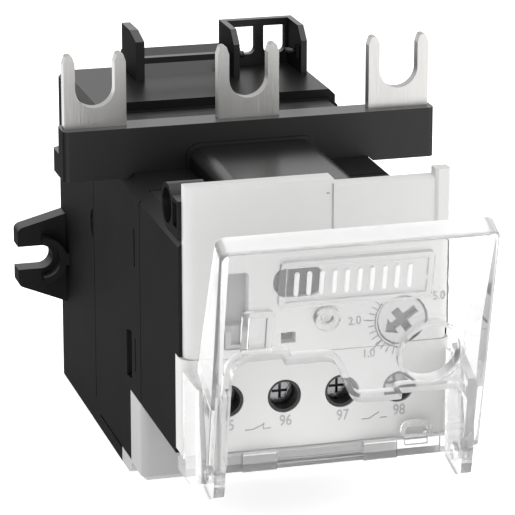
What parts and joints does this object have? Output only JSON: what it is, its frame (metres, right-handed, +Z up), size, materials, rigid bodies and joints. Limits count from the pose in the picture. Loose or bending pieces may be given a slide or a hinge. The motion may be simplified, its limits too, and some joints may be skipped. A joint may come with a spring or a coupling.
{
  "type": "thermal overload relay",
  "caption": "Slim electronic motor overload relay that plugs under a contactor: line forks, setting dial, reset button and a clear hinged guard.",
  "frame": {"origin": "middle of the rear mounting face's width, level with the panel slots", "axes": "+X to the relay's right seen from the front, +Y to the rear, into the panel, +Z up"},
  "size_m": [0.0654, 0.1161, 0.0733],
  "materials": {
    "housing_black": "satin black moulding",
    "face_grey": "smooth light grey",
    "cover_grey": "smooth mid grey",
    "clear": "polished clear",
    "tinned_copper": "tinned, satin",
    "zinc_steel": "zinc plated",
    "screw_steel": "bright plated",
    "core_steel": "varnished laminations",
    "winding": "enamelled copper",
    "board_green": "solder resist",
    "chip_black": "moulded epoxy",
    "capacitor_blue": "sleeved can",
    "inner_white": "natural moulding",
    "contact_brass": "bright",
    "button_grey": "satin dark grey",
    "slide_grey": "satin grey",
    "dial_grey": "satin light grey",
    "flag_orange": "matt",
    "spring_steel": "drawn wire"
  },
  "bodies": {
    "relay": {"front_housing": "housing_black", "middle_housing": "housing_black", "rear_housing": "housing_black", "contactor_latch": "housing_black", "terminal_bar": "housing_black", "top_hood": "housing_black", "side_socket": "housing_black", "face_plate": "face_grey", "terminal_face": "face_grey", "lower_terminal_cover": "cover_grey", "base_frame": "clear", "line_bar_left": "tinned_copper", "transformer_core_left": "core_steel", "transformer_winding_left": "winding", "load_clamp_left": "zinc_steel", "line_bar_center": "tinned_copper", "transformer_core_center": "core_steel", "transformer_winding_center": "winding", "load_clamp_center": "zinc_steel", "line_bar_right": "tinned_copper", "transformer_core_right": "core_steel", "transformer_winding_right": "winding", "load_clamp_right": "zinc_steel", "contact_strip_95": "contact_brass", "contact_strip_96": "contact_brass", "contact_strip_97": "contact_brass", "contact_strip_98": "contact_brass", "load_screws": "screw_steel", "control_screws": "screw_steel", "terminal_washers": "zinc_steel", "trip_yoke": "zinc_steel", "trip_bobbin": "inner_white", "trip_coil": "winding", "control_board": "board_green", "power_board": "board_green", "control_chips": "chip_black", "storage_capacitor": "capacitor_blue", "board_ribbon": "inner_white", "potentiometer": "capacitor_blue", "contact_block": "chip_black", "reset_spring": "spring_steel"},
    "guard": {"clear_guard": "clear"},
    "reset": {"reset_button": "button_grey"},
    "dial": {"adjustment_dial": "dial_grey"},
    "test": {"test_slide": "slide_grey"},
    "trip": {"contact_carrier": "inner_white", "nc_bridge": "contact_brass", "no_bridge": "contact_brass", "trip_flag": "flag_orange", "trip_plunger": "zinc_steel"}
  },
  "joints": [
    {"name": "guard_hinge", "type": "hinge", "parent": "relay", "child": "guard", "pos_m": [0, -0.1023, -0.0074], "axis": [1, 0, 0], "range_deg": [-24.8, 65]},
    {"name": "reset_press", "type": "slide", "parent": "relay", "child": "reset", "axis": [0, 1, 0], "range_m": [0, 0.0016], "stiffness_N_per_m": 500, "springref_m": -0.003, "deforming": ["reset_spring"]},
    {"name": "dial_turn", "type": "hinge", "parent": "relay", "child": "dial", "pos_m": [0.014, -0.092, 0.0122], "axis": [0, 1, 0], "range_deg": [-8.5, 187.5]},
    {"name": "test_push", "type": "slide", "parent": "relay", "child": "test", "axis": [0, 0, 1], "range_m": [0, 0.0025], "stiffness_N_per_m": 200, "springref_m": -0.002},
    {"name": "trip_lift", "type": "slide", "parent": "relay", "child": "trip", "axis": [0, 0, 1], "range_m": [0, 0.0012]}
  ]
}
